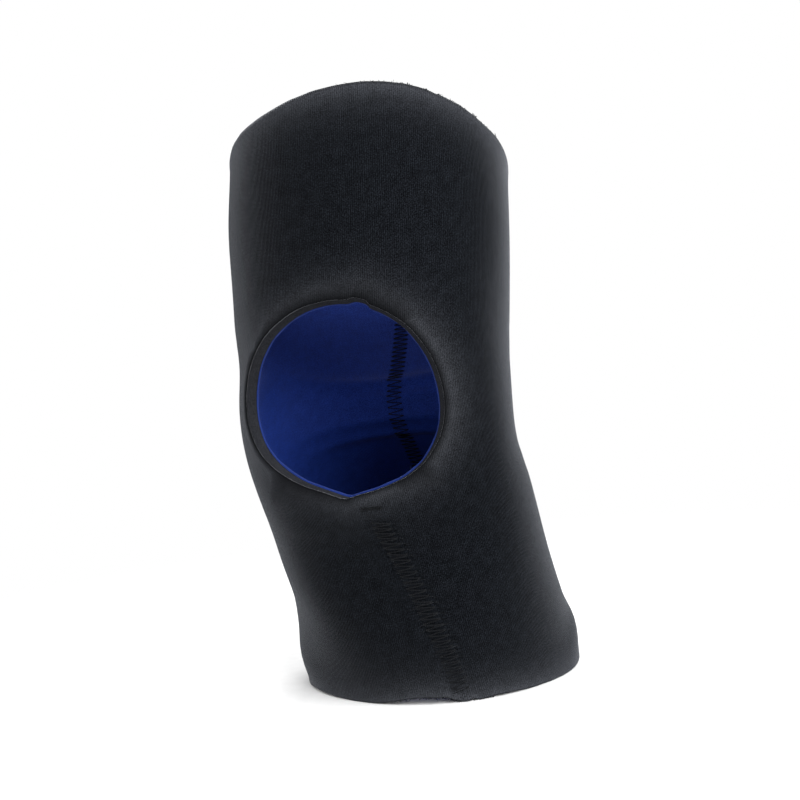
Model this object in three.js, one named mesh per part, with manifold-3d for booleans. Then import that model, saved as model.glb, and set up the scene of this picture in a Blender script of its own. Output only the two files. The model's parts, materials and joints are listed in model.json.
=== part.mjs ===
// Open-patella knee sleeve: a pull-on tube of nylon-faced neoprene, pre-bent at the knee.
// Millimetres. +Z up, the front of the knee faces -Y, X runs across the knee.
// The sleeve stands on its lower rim, which lies in the plane z = 0.
import * as THREE from "three";
import { ParametricGeometry } from "three/addons/geometries/ParametricGeometry.js";
import { mergeVertices } from "three/addons/utils/BufferGeometryUtils.js";
import Module from "manifold-3d";

const wasm = await Module();
wasm.setup();

// The bent tube's middle line: straight shin, circular bend, straight thigh.
const sleeveLength = 267;
const kneeStation = 150;
const bendLength = 64;
const shinLean = 33;
const thighLean = 21;
const sideBow = 4.5;

// Half-widths across the knee, and how deep the tube is front to back for its width.
const halfWidthShin = 70.5;
const halfWidthThigh = 66.8;
const waistDepth = 9.3;
const waistStation = 125;
const waistSpread = 104;
const rimFlare = 2.7;
const rimFlareReach = 15;
const lowerRimFront = 33;
const lowerRimBack = -39;
const shinDepthRatio = 0.8;
const thighDepthRatio = 0.86;

// Local form: the dip of the tendon below the kneecap, and the hollow behind the knee.
const tendonDip = 9;
const tendonStation = 123;
const tendonSpread = 37;
const kneeHollow = 16;
const kneeHollowSpread = 50;

// The upper rim is cut on a plane that leans back from the horizontal.
const upperRimLean = 30;

// Laminate: jersey, sponge, jersey. The glue lines are shown as thin gaps.
const wallThickness = 5.5;
const jerseyThickness = 0.6;
const glueGap = 0.3;
const jerseySetback = 0.4;

// Kneecap opening: an ellipse on the curved wall, slightly egg-shaped, with a V notch below.
const openingStation = 156.4;
const openingHalfHeight = 23;
const openingAngle = -3.4;
const openingHalfAngle = 47.4;
const eggAcross = -0.027;
const eggUp = -0.015;
const notchDepth = 0.09;
const notchSpread = 0.14;
const cutterReachIn = 14;
const cutterReachOut = 24;

// The knee section is a wedge, narrow in front and wide behind, so that the leg can bend.
const shinTopFront = 139;
const shinTopBack = 104;
const thighBottomFront = 172;
const thighBottomBack = 198;
const sectionGap = 0.5;

// Seams: one thread on the face and one on the lining, run in a wide zigzag.
const threadRadius = 0.35;
const threadFacets = 2;
const threadLiftOutside = 0.7;
const threadLiftInside = 1.5;
const seamWidth = 9.4;
const seamPitch = 10;
const seamMarginAtRim = 3;
const seamMarginAtSection = 1.5;
const dartAngleTop = 6.5;
const dartAngleBottom = 21.2;
const dartTopStation = 125;
const dartBendStation = 122;
const dartFootStation = 35;
const tackWidth = 9;
const tackStation = 128.4;
const tackAngle = 4.4;
const tackPoints = 8;

// Facets of the faceted solids.
const sidesRound = 36;
const sidesOfOpening = 48;
const rowsOf = { shin: 9, knee: 8, thigh: 5 };

const mergeDistance = 1e-3;

const toRadians = THREE.MathUtils.degToRad;
const fullTurn = 2 * Math.PI;

const bell = (s, centre, spread) => Math.exp(-(((s - centre) / spread) ** 2));

// Height, depth and lean of the middle line at the length s along it.
function spine(s) {
  const leanLow = toRadians(shinLean);
  const leanHigh = -toRadians(thighLean);
  const bendStart = kneeStation - bendLength / 2;
  const radius = bendLength / (leanLow - leanHigh);
  const along = Math.min(s, bendStart);
  const inBend = THREE.MathUtils.clamp(s - bendStart, 0, bendLength);
  const beyond = Math.max(s - bendStart - bendLength, 0);
  const lean = leanLow - inBend / radius;
  const y =
    -along * Math.sin(leanLow) -
    radius * (Math.cos(lean) - Math.cos(leanLow)) -
    beyond * Math.sin(leanHigh);
  const z =
    along * Math.cos(leanLow) +
    radius * (Math.sin(leanLow) - Math.sin(lean)) +
    beyond * Math.cos(leanHigh);
  return { y, z, lean };
}

function halfWidth(s, angle) {
  const plain = THREE.MathUtils.lerp(halfWidthShin, halfWidthThigh, s / sleeveLength);
  const waist = waistDepth * bell(s, waistStation, waistSpread);
  const rim = THREE.MathUtils.lerp(lowerRimBack, lowerRimFront, (1 + Math.cos(angle)) / 2);
  const flare = rimFlare * Math.exp(-Math.max(s - rim, 0) / rimFlareReach);
  return plain - waist + flare;
}

function halfDepth(s, angle) {
  const ratio = THREE.MathUtils.lerp(shinDepthRatio, thighDepthRatio, s / sleeveLength);
  return ratio * halfWidth(s, angle);
}

// A point of the wall: length s, angle round from the front, depth below the face.
function wallPoint(s, angle, inset) {
  const { y, z, lean } = spine(s);
  const front = Math.max(Math.cos(angle), 0) ** 2;
  const back = Math.max(-Math.cos(angle), 0) ** 2;
  const dip = tendonDip * bell(s, tendonStation, tendonSpread) * front;
  const hollow = kneeHollow * bell(s, kneeStation, kneeHollowSpread) * back;
  const forward = (halfDepth(s, angle) - inset) * Math.cos(angle) - dip + hollow;
  const bow = sideBow * Math.sin((Math.PI * s) / sleeveLength);
  const across = (halfWidth(s, angle) - inset) * Math.sin(angle) + bow;
  return new THREE.Vector3(
    across,
    y - forward * Math.cos(lean),
    z - forward * Math.sin(lean),
  );
}

const floorPlane = new THREE.Plane(new THREE.Vector3(0, 0, 1), 0);
const topMiddle = spine(sleeveLength);
const rimNormal = new THREE.Vector3(
  0,
  Math.sin(toRadians(upperRimLean)),
  Math.cos(toRadians(upperRimLean)),
);
const rimPlane = new THREE.Plane().setFromNormalAndCoplanarPoint(
  rimNormal,
  new THREE.Vector3(0, topMiddle.y, topMiddle.z),
);

// The length at which the wall meets a plane, by Newton steps.
function stationOnPlane(plane, guess, angle, inset) {
  const stepCount = 8;
  const ahead = 0.5;
  let s = guess;
  for (let step = 0; step < stepCount; step += 1) {
    const here = plane.distanceToPoint(wallPoint(s, angle, inset));
    const next = plane.distanceToPoint(wallPoint(s + ahead, angle, inset));
    s -= (here * ahead) / (next - here);
  }
  return s;
}

const lowerRim = (raise) => {
  const plane = floorPlane.clone();
  plane.constant -= raise;
  return (angle, inset) => stationOnPlane(plane, 0, angle, inset);
};

const upperRim = (lower) => {
  const plane = rimPlane.clone();
  plane.constant += lower;
  return (angle, inset) => stationOnPlane(plane, sleeveLength, angle, inset);
};

// A section's edge: one station in front, another behind, and a cosine between them.
const sectionEdge = (front, back, shift) => (angle) =>
  THREE.MathUtils.lerp(front, back, (1 - Math.cos(angle)) / 2) + shift;

const shinTop = sectionEdge(shinTopFront, shinTopBack, -sectionGap / 2);
const kneeBottom = sectionEdge(shinTopFront, shinTopBack, sectionGap / 2);
const kneeTop = sectionEdge(thighBottomFront, thighBottomBack, -sectionGap / 2);
const thighBottom = sectionEdge(thighBottomFront, thighBottomBack, sectionGap / 2);

// The rows between a section's edges lie at the same stations in every layer, so that the
// facets of neighbouring layers stay parallel. Only the edge rows follow their own layer.
function stationOfRow(share, lowEdge, highEdge, angle, inset) {
  if (share === 0) return lowEdge(angle, inset);
  if (share === 1) return highEdge(angle, inset);
  return THREE.MathUtils.lerp(lowEdge(angle, 0), highEdge(angle, 0), share);
}

// A ring of the wall between two insets and two edges. The rows run up the outside, over
// the upper edge, down the inside and back under the lower edge, each row once round.
function ringSolid(outerInset, innerInset, lowEdge, highEdge, rowCount) {
  const rows = [];
  for (const inset of [outerInset, innerInset]) {
    const shares = Array.from({ length: rowCount + 1 }, (_, row) => row / rowCount);
    if (inset === innerInset) shares.reverse();
    for (const share of shares) {
      rows.push((angle) => {
        const s = stationOfRow(share, lowEdge, highEdge, angle, inset);
        return wallPoint(s, angle, inset);
      });
    }
  }
  return toManifold(rolledGrid(rows, sidesRound, rowCount));
}

// A surface of closed rows, each joined to the next and the last to the first. Its cells
// are split on one diagonal up to the row turnRow, and on the other diagonal after it.
function rolledGrid(rows, sides, turnRow) {
  const positions = [];
  const index = [];
  const corner = (row, side) => (row % rows.length) * sides + (side % sides);
  rows.forEach((pointAt, row) => {
    for (let side = 0; side < sides; side += 1) {
      positions.push(...pointAt((fullTurn * side) / sides).toArray());
      const a = corner(row, side);
      const b = corner(row, side + 1);
      const c = corner(row + 1, side + 1);
      const d = corner(row + 1, side);
      if (row <= turnRow) index.push(a, b, c, a, c, d);
      else index.push(a, b, d, b, c, d);
    }
  });
  const geometry = new THREE.BufferGeometry();
  geometry.setAttribute("position", new THREE.Float32BufferAttribute(positions, 3));
  geometry.setIndex(index);
  return geometry;
}

// How far the opening's outline reaches in a direction, as a share of the ellipse.
function openingReach(turn) {
  const egg = eggAcross * Math.cos(3 * turn) + eggUp * Math.sin(3 * turn);
  const fromNotch = Math.abs(turn - 0.75 * fullTurn);
  return 1 + egg + notchDepth * Math.exp(-((fromNotch / notchSpread) ** 2));
}

// The kneecap opening's cutter: a closed lens, its outline carried straight through the
// wall. Its levels are the inner pole, the inner edge, the outer edge and the outer pole.
function openingCutter() {
  const middle = toRadians(openingAngle);
  const levels = 3;
  const surface = (u, v, target) => {
    const turn = fullTurn * u;
    const level = Math.round(v * levels);
    const inset = level < 2 ? cutterReachIn : -cutterReachOut;
    const atPole = level === 0 || level === levels;
    const reach = atPole ? 0 : openingReach(turn);
    const s = openingStation + reach * openingHalfHeight * Math.sin(turn);
    const angle = middle + reach * toRadians(openingHalfAngle) * Math.cos(turn);
    target.copy(wallPoint(s, angle, inset));
  };
  return toManifold(new ParametricGeometry(surface, sidesOfOpening, levels));
}

// Zigzag thread across a seam: corners left and right of the seam line, rounded by a spline.
function zigzagThread(fromStation, toStation, angleAt, inset) {
  const count = Math.max(2, Math.round((2 * (toStation - fromStation)) / seamPitch));
  const corners = [];
  for (let k = 0; k <= count; k += 1) {
    const s = THREE.MathUtils.lerp(fromStation, toStation, k / count);
    const angle = angleAt(s);
    const swing = ((k % 2 === 0 ? 1 : -1) * seamWidth) / 2 / halfWidth(s, angle);
    corners.push(wallPoint(s, angle + swing, inset));
  }
  return threadAlong(corners, 2 * count);
}

// Bar tack: one short run of thread across the head of the dart.
function barTack() {
  const middle = toRadians(tackAngle);
  const half = tackWidth / 2 / halfWidth(tackStation, middle);
  const points = Array.from({ length: tackPoints + 1 }, (_, k) =>
    wallPoint(tackStation, middle + half * ((2 * k) / tackPoints - 1), outsideFace),
  );
  return threadAlong(points, tackPoints);
}

// A spline whose cross-sections fall on its own points, so a zigzag keeps every corner.
class StitchPath extends THREE.CatmullRomCurve3 {
  getPointAt(u, target) {
    return this.getPoint(u, target);
  }

  getTangentAt(u, target) {
    return this.getTangent(u, target);
  }
}

function threadAlong(points, steps) {
  const section = new THREE.Shape().absarc(0, 0, threadRadius, 0, fullTurn);
  return new THREE.ExtrudeGeometry(section, {
    steps,
    curveSegments: threadFacets,
    bevelEnabled: false,
    extrudePath: new StitchPath(points),
  });
}

// A geometry's merged triangles as a manifold-3d solid.
function toManifold(geometry) {
  geometry.deleteAttribute("normal");
  geometry.deleteAttribute("uv");
  const merged = mergeVertices(geometry, mergeDistance);
  const corners = merged.index.array;
  const kept = [];
  for (let i = 0; i < corners.length; i += 3) {
    const [a, b, c] = [corners[i], corners[i + 1], corners[i + 2]];
    if (a !== b && b !== c && c !== a) kept.push(a, b, c);
  }
  return new wasm.Manifold(
    new wasm.Mesh({
      numProp: 3,
      vertProperties: merged.attributes.position.array,
      triVerts: new Uint32Array(kept),
    }),
  );
}

function toGeometry(solid) {
  const mesh = solid.getMesh();
  const geometry = new THREE.BufferGeometry();
  geometry.setAttribute("position", new THREE.BufferAttribute(mesh.vertProperties, 3));
  geometry.setIndex(new THREE.BufferAttribute(mesh.triVerts, 1));
  geometry.computeVertexNormals();
  return geometry;
}

const finishes = {
  faceJersey: { color: 0x1b1e24, roughness: 0.85, metalness: 0 },
  sponge: { color: 0x17181b, roughness: 0.95, metalness: 0 },
  liningJersey: { color: 0x1f3f94, roughness: 0.85, metalness: 0 },
  thread: { color: 0x101216, roughness: 0.6, metalness: 0 },
};

const sleeve = new THREE.Group();

function addPart(name, geometry, finish) {
  const mesh = new THREE.Mesh(geometry, new THREE.MeshStandardMaterial(finishes[finish]));
  mesh.name = name;
  sleeve.add(mesh);
}

// Insets of each layer's two sides, and of the threads that lie on the wall's two faces.
const spongeOuter = jerseyThickness + glueGap;
const spongeInner = wallThickness - jerseyThickness - glueGap;
const liningOuter = wallThickness - jerseyThickness;
const outsideFace = -(threadRadius + threadLiftOutside);
const insideFace = wallThickness + threadRadius + threadLiftInside;

const layers = [
  { name: "face_jersey", outer: 0, inner: jerseyThickness, finish: "faceJersey" },
  { name: "neoprene_core", outer: spongeOuter, inner: spongeInner, finish: "sponge" },
  { name: "lining_jersey", outer: liningOuter, inner: wallThickness, finish: "liningJersey" },
];

function addLayers() {
  const cutter = openingCutter();
  for (const { name, outer, inner, finish } of layers) {
    const setback = name === "neoprene_core" ? 0 : jerseySetback;
    const sections = {
      shin: [lowerRim(setback), shinTop],
      knee: [kneeBottom, kneeTop],
      thigh: [thighBottom, upperRim(setback)],
    };
    for (const [section, [low, high]] of Object.entries(sections)) {
      const ring = ringSolid(outer, inner, low, high, rowsOf[section]);
      addPart(`${name}_${section}`, toGeometry(ring.subtract(cutter)), finish);
    }
  }
}

// The dart runs down from the opening's notch to the lower rim. It slants outwards as it
// falls and straightens near the rim: its angle follows a quarter of a sine.
function dartAngle(s) {
  const fallen = (dartBendStation - s) / (dartBendStation - dartFootStation);
  const share = THREE.MathUtils.clamp(fallen, 0, 1);
  const turned = Math.sin((share * Math.PI) / 2);
  return toRadians(THREE.MathUtils.lerp(dartAngleTop, dartAngleBottom, turned));
}

function addSeams() {
  const faces = { face: outsideFace, lining: insideFace };
  for (const [side, inset] of Object.entries(faces)) {
    const dartFoot = lowerRim(seamMarginAtRim)(toRadians(dartAngleBottom), inset);
    const dart = zigzagThread(dartFoot, dartTopStation, dartAngle, inset);
    addPart(`dart_thread_${side}`, dart, "thread");
    const backRuns = {
      shin: [lowerRim(seamMarginAtRim)(Math.PI, inset), shinTopBack - seamMarginAtSection],
      knee: [shinTopBack + seamMarginAtSection, thighBottomBack - seamMarginAtSection],
      thigh: [thighBottomBack + seamMarginAtSection, upperRim(seamMarginAtRim)(Math.PI, inset)],
    };
    for (const [section, [from, to]] of Object.entries(backRuns)) {
      const run = zigzagThread(from, to, () => Math.PI, inset);
      addPart(`back_seam_thread_${side}_${section}`, run, "thread");
    }
  }
  addPart("bar_tack", barTack(), "thread");
}

addLayers();
addSeams();

// The origin is the middle of the whole sleeve's footprint, on the floor.
const extent = new THREE.Box3().setFromObject(sleeve);
const centre = extent.getCenter(new THREE.Vector3());
for (const mesh of sleeve.children) mesh.position.set(-centre.x, -centre.y, -extent.min.z);

export default sleeve;
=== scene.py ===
# Open-patella knee sleeve: three bonded layers, sewn with a dart in front and a closing seam behind.
import json
import bpy
import numpy as np
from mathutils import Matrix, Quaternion, Vector


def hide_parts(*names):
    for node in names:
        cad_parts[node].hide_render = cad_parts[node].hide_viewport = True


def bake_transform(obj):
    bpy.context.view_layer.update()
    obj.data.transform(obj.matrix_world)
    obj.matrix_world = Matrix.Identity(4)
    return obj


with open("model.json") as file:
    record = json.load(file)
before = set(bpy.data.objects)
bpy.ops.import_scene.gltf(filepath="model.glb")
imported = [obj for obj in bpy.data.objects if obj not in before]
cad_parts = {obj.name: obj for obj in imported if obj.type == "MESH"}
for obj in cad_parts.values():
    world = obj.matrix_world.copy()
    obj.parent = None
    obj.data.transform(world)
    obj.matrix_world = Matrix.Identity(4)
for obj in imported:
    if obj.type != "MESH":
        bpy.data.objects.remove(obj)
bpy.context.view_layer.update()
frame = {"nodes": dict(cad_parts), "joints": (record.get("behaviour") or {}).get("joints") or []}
kneeJoint = frame["joints"][0]
print("frame loaded:", len(frame["nodes"]), "CAD nodes")

mm = 0.001
degree = np.pi / 180
turn = 2 * np.pi


def linearColour(hexText):
    # sRGB hex to the linear values that shaders take
    srgb = np.array([int(hexText[i:i + 2], 16) for i in (1, 3, 5)]) / 255
    linear = np.where(srgb <= 0.04045, srgb / 12.92, ((srgb + 0.055) / 1.055) ** 2.4)
    return (*linear, 1.0)


def bell(x, centre, spread):
    # 1 at the centre, falling off like a Gauss curve
    return np.exp(-(((x - centre) / spread) ** 2))


def fadeIn(x, start, end):
    # 0 before start, 1 after end, smooth between
    t = np.clip((x - start) / (end - start), 0, 1)
    return t * t * (3 - 2 * t)


def wrapped(angle):
    # an angle brought to the range -180 to 180 degrees
    return (angle + np.pi) % turn - np.pi


# lengths in mm, angles in degrees; the same driving sizes as the CAD
sleeveForm = {
    "length": 267.0,
    "kneeStation": 150.0,
    "bendLength": 64.0,
    "shinLean": 33.0,
    "thighLean": 21.0,
    "sideBow": 4.5,
    "halfWidthShin": 70.5,
    "halfWidthThigh": 66.8,
    "waistDepth": 9.3,
    "waistStation": 125.0,
    "waistSpread": 104.0,
    "rimFlare": 2.7,
    "rimFlareReach": 15.0,
    "lowerRimFront": 33.0,
    "lowerRimBack": -39.0,
    "shinDepthRatio": 0.8,
    "thighDepthRatio": 0.86,
    "tendonDip": 9.0,
    "tendonStation": 123.0,
    "tendonSpread": 37.0,
    "kneeHollow": 16.0,
    "kneeHollowSpread": 50.0,
    "upperRimLean": 30.0,
    "wallThickness": 5.5,
    "bendDepth": 52.0,
    "bendHollow": 19.4,
}


def spine(s):
    # middle line of the tube: a straight, a circular bend, a straight; y, z and lean at length s
    f = sleeveForm
    leanLow = f["shinLean"] * degree
    leanHigh = -f["thighLean"] * degree
    bendStart = f["kneeStation"] - f["bendLength"] / 2
    radius = f["bendLength"] / (leanLow - leanHigh)
    along = np.minimum(s, bendStart)
    inBend = np.clip(s - bendStart, 0, f["bendLength"])
    beyond = np.maximum(s - bendStart - f["bendLength"], 0)
    lean = leanLow - inBend / radius
    y = -along * np.sin(leanLow) - radius * (np.cos(lean) - np.cos(leanLow)) - beyond * np.sin(leanHigh)
    z = along * np.cos(leanLow) + radius * (np.sin(leanLow) - np.sin(lean)) + beyond * np.cos(leanHigh)
    return y, z, lean


kneeY = float(spine(np.array([sleeveForm["kneeStation"]]))[0][0])
frameShift = kneeJoint["pos_m"][1] - kneeY * mm  # the CAD centres its footprint on the origin


def halfWidth(s, angle):
    # straight taper from shin to thigh, less the waist, plus a small flare at the lower rim
    f = sleeveForm
    plain = f["halfWidthShin"] + (f["halfWidthThigh"] - f["halfWidthShin"]) * s / f["length"]
    waist = f["waistDepth"] * bell(s, f["waistStation"], f["waistSpread"])
    rim = f["lowerRimBack"] + (f["lowerRimFront"] - f["lowerRimBack"]) * (1 + np.cos(angle)) / 2
    return plain - waist + f["rimFlare"] * np.exp(-np.maximum(s - rim, 0) / f["rimFlareReach"])


def wallPoint(s, angle, inset):
    # an ellipse square to the middle line, dipped at the tendon and hollowed behind the knee,
    # in metres in the row frame; angle runs round from the front, inset goes in from the face
    f = sleeveForm
    y, z, lean = spine(s)
    width = halfWidth(s, angle)
    ratio = f["shinDepthRatio"] + (f["thighDepthRatio"] - f["shinDepthRatio"]) * s / f["length"]
    front = np.maximum(np.cos(angle), 0) ** 2
    back = np.maximum(-np.cos(angle), 0) ** 2
    dip = f["tendonDip"] * bell(s, f["tendonStation"], f["tendonSpread"]) * front
    hollow = f["kneeHollow"] * bell(s, f["kneeStation"], f["kneeHollowSpread"]) * back
    forward = (width * ratio - inset) * np.cos(angle) - dip + hollow
    across = (width - inset) * np.sin(angle) + f["sideBow"] * np.sin(np.pi * s / f["length"])
    point = np.stack([across, y - forward * np.cos(lean), z - forward * np.sin(lean)], axis=-1) * mm
    point[..., 1] += frameShift
    return point


def clothLength(s, angle):
    # length measured on the cloth: the bend adds its turn times the distance from the middle line,
    # so the cloth is longer over the kneecap and shorter behind the knee
    f = sleeveForm
    turned = f["shinLean"] * degree - spine(s)[2]
    forward = f["bendDepth"] * np.cos(angle) + f["bendHollow"] * np.maximum(-np.cos(angle), 0) ** 2
    return s + forward * turned


def planeStation(normal, through, guess, angle, inset):
    # the length at which the wall meets a plane, by Newton steps; through may vary with the angle
    s = np.broadcast_to(guess, np.broadcast(angle, inset).shape).astype(float)
    newtonSteps = 8
    ahead = 0.5
    for _ in range(newtonSteps):
        here = ((wallPoint(s, angle, inset) - through) * normal).sum(-1)
        there = ((wallPoint(s + ahead, angle, inset) - through) * normal).sum(-1)
        s = s - ahead * here / (there - here)
    return s


def waves(angle, seed, count, height):
    # a closed uneven line: sines that fit a whole number of times round, with seeded phases
    draw = np.random.default_rng(seed)
    total = np.zeros_like(angle)
    for k in range(2, 2 + count):
        total = total + np.sin(k * angle + draw.uniform(0, turn)) * draw.uniform(0.4, 1) / np.sqrt(k)
    return total * height


# cut rims, in mm: how far each strays from its plane; lifts are (angle, spread in degrees, height)
rimCut = {
    "lowerRaise": 0.15,
    "lowerWave": 0.16,
    "lowerLifts": [
        (7.0, 14.0, 4.0),
        (20.5, 2.2, -1.0),
        (14.5, 1.8, 0.7),
        (27.0, 1.6, -0.6),
        (104.0, 20.0, 3.6),
        (-46.0, 11.0, 1.8),
        (-25.0, 9.0, 0.3),
        (36.0, 11.0, 0.75),
        (180.0, 12.0, 1.1),
    ],
    "upperWave": 0.16,
    "upperRough": (62.0, 30.0, 0.15),
    "upperLifts": [(-24.0, 25.0, -3.3), (32.0, 18.0, 1.0), (68.0, 12.0, -1.1)],
}


def liftSum(angle, lifts):
    return sum(
        height * bell(wrapped(angle - middle * degree), 0.0, spread * degree)
        for middle, spread, height in lifts
    )


def lowerStation(angle, inset):
    # the lower rim: the floor plane, lifted where the dart gathers it, with a hand-cut wave
    c = rimCut
    raised = c["lowerRaise"] + np.maximum(liftSum(angle, c["lowerLifts"]), 0)
    raised = raised + np.abs(waves(angle, 3, 50, c["lowerWave"]))
    through = np.zeros(np.broadcast(angle, inset).shape + (3,))
    through[..., 2] = raised * mm
    return planeStation(np.array([0.0, 0.0, 1.0]), through, 0.0, angle, inset)


def upperStation(angle, inset):
    # the upper rim: a plane that leans back through the end of the middle line, with a wave
    c = rimCut
    lean = sleeveForm["upperRimLean"] * degree
    normal = np.array([0.0, np.sin(lean), np.cos(lean)])
    y, z, _ = spine(np.array([sleeveForm["length"]]))
    middle = np.array([0.0, y[0] * mm + frameShift, z[0] * mm])
    offset = (waves(angle, 5, 50, c["upperWave"]) + liftSum(angle, c["upperLifts"])) * mm
    middleRough, spreadRough, rough = c["upperRough"]
    roughHere = bell(wrapped(angle - middleRough * degree), 0, spreadRough * degree)
    offset = offset + waves(angle, 9, 90, rough) * roughHere * mm
    through = middle + np.broadcast_to(offset, np.broadcast(angle, inset).shape)[..., None] * normal
    return planeStation(normal, through, sleeveForm["length"], angle, inset)


def stationAt(rim, angle):
    return float(rim(np.array([angle]), np.zeros(1))[0])


# soft unevenness of a worn sleeve, in mm outwards; swells are (station, spread in mm, angle,
# spread in degrees, height)
softRelief = {
    "waveHeight": 0.30,
    "creaseDepth": 1.5,
    "creaseStations": [126.0, 141.0, 156.0, 172.0],
    "creaseSpread": 3.6,
    "creaseBow": 7.0,
    "rimRoll": 0.5,
    "rimRollReach": 5.0,
    "swells": [
        (172.0, 10.0, -80.0, 24.0, -2.2),
        (143.0, 16.0, -72.0, 24.0, 1.0),
        (240.0, 24.0, -68.0, 26.0, 1.0),
        (68.0, 17.0, -68.0, 26.0, -1.6),
        (32.0, 12.0, -66.0, 26.0, 2.2),
        (132.0, 18.0, 100.0, 26.0, -1.3),
        (232.0, 34.0, 98.0, 26.0, 0.8),
        (16.0, 9.0, 103.0, 24.0, 1.6),
        (-2.0, 7.0, 98.0, 22.0, -2.0),
    ],
}


def softHeight(s, angle):
    # slow waves, curved creases behind the knee, and the local swells
    r = softRelief
    slow = np.sin(2 * angle + s / 31.0 + 0.6) + np.sin(3 * angle - s / 23.0 + 2.1)
    slow = slow + 0.7 * np.sin(5 * angle + s / 14.0 + 4.0)
    height = r["waveHeight"] * slow
    fromBack = wrapped(angle - np.pi)
    behind = bell(fromBack, 0.0, 48 * degree)
    for k, station in enumerate(r["creaseStations"]):
        bowed = station + r["creaseBow"] * (fromBack / (60 * degree)) ** 2 * (1 if k > 1 else -1)
        height = height - r["creaseDepth"] * behind * bell(s, bowed, r["creaseSpread"])
    for station, spread, middle, angleSpread, swell in r["swells"]:
        across = bell(wrapped(angle - middle * degree), 0.0, angleSpread * degree)
        height = height + swell * across * bell(s, station, spread)
    return height


# seams, in mm; rows of needle holes lie half a width either side of the seam line
seamForm = {
    "dartTopStation": 125.0,
    "dartBendStation": 122.0,
    "dartFootStation": 35.0,
    "dartTopAngle": 6.5,
    "dartFootAngle": 21.2,
    "footStrength": 0.6,
    "backStrength": 0.7,
    "width": 9.4,
    "pitch": 2.9,
    "valley": 0.3,
    "valleySpread": 6.0,
    "needleDepth": 0.95,
    "needleSpread": 1.1,
    "pucker": 0.32,
    "puckerSpread": 7.5,
}


def dartAngle(s):
    # the dart slants outwards as it falls and straightens near the rim: a quarter of a sine
    f = seamForm
    share = np.clip((f["dartBendStation"] - s) / (f["dartBendStation"] - f["dartFootStation"]), 0, 1)
    slant = (f["dartFootAngle"] - f["dartTopAngle"]) * np.sin(share * np.pi / 2)
    return (f["dartTopAngle"] + slant) * degree


def seamHeight(across, along, strength):
    # a shallow valley, two rows of needle dimples and the uneven cross puckers that they pull
    f = seamForm
    drift = 0.5 * np.sin(along / 7.1) + 0.35 * np.sin(along / 3.3 + 1.7)
    phase = turn * along / f["pitch"] + drift
    height = -f["valley"] * bell(across, 0.0, f["valleySpread"])
    for side in (-1, 1):
        beat = (0.5 + 0.5 * np.cos(phase + (np.pi if side > 0 else 0))) ** 1.5
        uneven = 0.75 + 0.25 * np.sin(along / 4.7 + 2.0 * side)
        row = bell(across, side * f["width"] / 2, f["needleSpread"])
        height = height - f["needleDepth"] * uneven * (0.25 + 0.75 * beat) * row
    uneven = 0.65 + 0.35 * np.sin(along / 5.3 + 1.0) * np.sin(along / 2.9)
    ripple = np.cos(phase + 0.3 * across) + 0.5 * np.cos(phase / 2 - 0.2 * across)
    height = height + f["pucker"] * uneven * ripple * bell(across, 0.0, f["puckerSpread"])
    return height * strength


def dartWindow(s):
    # full along the dart, gone above its head and gentler towards its foot
    f = seamForm
    foot, top = f["dartFootStation"], f["dartTopStation"]
    footShare = f["footStrength"] + (1 - f["footStrength"]) * fadeIn(s, foot + 8, foot + 40)
    return footShare * (1 - fadeIn(s, top - 1, top + 3))


def backSeamAngle(s):
    return np.full_like(s, np.pi)


def dartAcross(s, angle):
    return wrapped(angle - dartAngle(s)) * halfWidth(s, angle)


def backAcross(s, angle):
    return wrapped(angle - np.pi) * halfWidth(s, angle) * sleeveForm["shinDepthRatio"]


barTackForm = {
    "width": 8.5, "height": 2.0, "stitches": 17, "pointsPerStitch": 6,
    "station": 128.4, "angle": 4.4, "radius": 0.2, "lift": 0.15, "dive": 0.4,
}

# the tack pulls a slit into the cloth with a lip above it; the dart's foot is gathered at the rim
gatherForm = {
    "slitDepth": 0.9,
    "slitHalfWidth": 4.6,
    "slitHalfHeight": 0.9,
    "lipHeight": 0.35,
    "creaseAngle": -5.0,
    "creaseDepth": 0.4,
    "footStation": 39.0,
    "footSpread": 7.0,
    "footWidth": 8.0,
    "footRipple": 0.4,
}


def gatherHeight(s, angle):
    f = gatherForm
    across = wrapped(angle - barTackForm["angle"] * degree) * halfWidth(s, angle)
    above = clothLength(s, angle) - clothLength(barTackForm["station"], angle)
    reach = np.exp(-((across / f["slitHalfWidth"]) ** 4))
    height = -f["slitDepth"] * reach * bell(above, 0.0, f["slitHalfHeight"])
    height = height + f["lipHeight"] * reach * (bell(above, 2.4, 1.1) + bell(above, -2.4, 1.1))
    aside = wrapped(angle - f["creaseAngle"] * degree) * halfWidth(s, angle)
    crease = bell(above, 1.2, 0.9) - bell(above, 2.9, 0.8)
    height = height - f["creaseDepth"] * bell(aside, 0.0, 4.0) * crease
    fromDart = dartAcross(s, angle)
    foot = bell(s, f["footStation"], f["footSpread"]) * bell(fromDart, 0.0, f["footWidth"])
    ripple = np.sin(s / 0.9 + fromDart / 2.1) + np.sin(s / 1.7 - fromDart / 1.3 + 1.0)
    return height + f["footRipple"] * foot * ripple


def faceHeight(s, angle):
    along = clothLength(s, angle)
    dart = seamHeight(dartAcross(s, angle), along, 1.0) * dartWindow(s)
    back = seamHeight(backAcross(s, angle), along, seamForm["backStrength"])
    return softHeight(s, angle) + dart + back + gatherHeight(s, angle)


spongeGroove = {"depth": 1.7, "reach": 9.0, "dartFade": (128.0, 136.0)}


def coreHeight(s, angle):
    # the sponge keeps below the stitched cloth along both seams
    g = spongeGroove
    s, angle = np.broadcast_arrays(s, angle)
    dart = np.exp(-((dartAcross(s, angle) / g["reach"]) ** 4)) * (1 - fadeIn(s, *g["dartFade"]))
    back = np.exp(-((backAcross(s, angle) / g["reach"]) ** 4))
    return softHeight(s, angle) - g["depth"] * np.maximum(dart, back)


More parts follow.
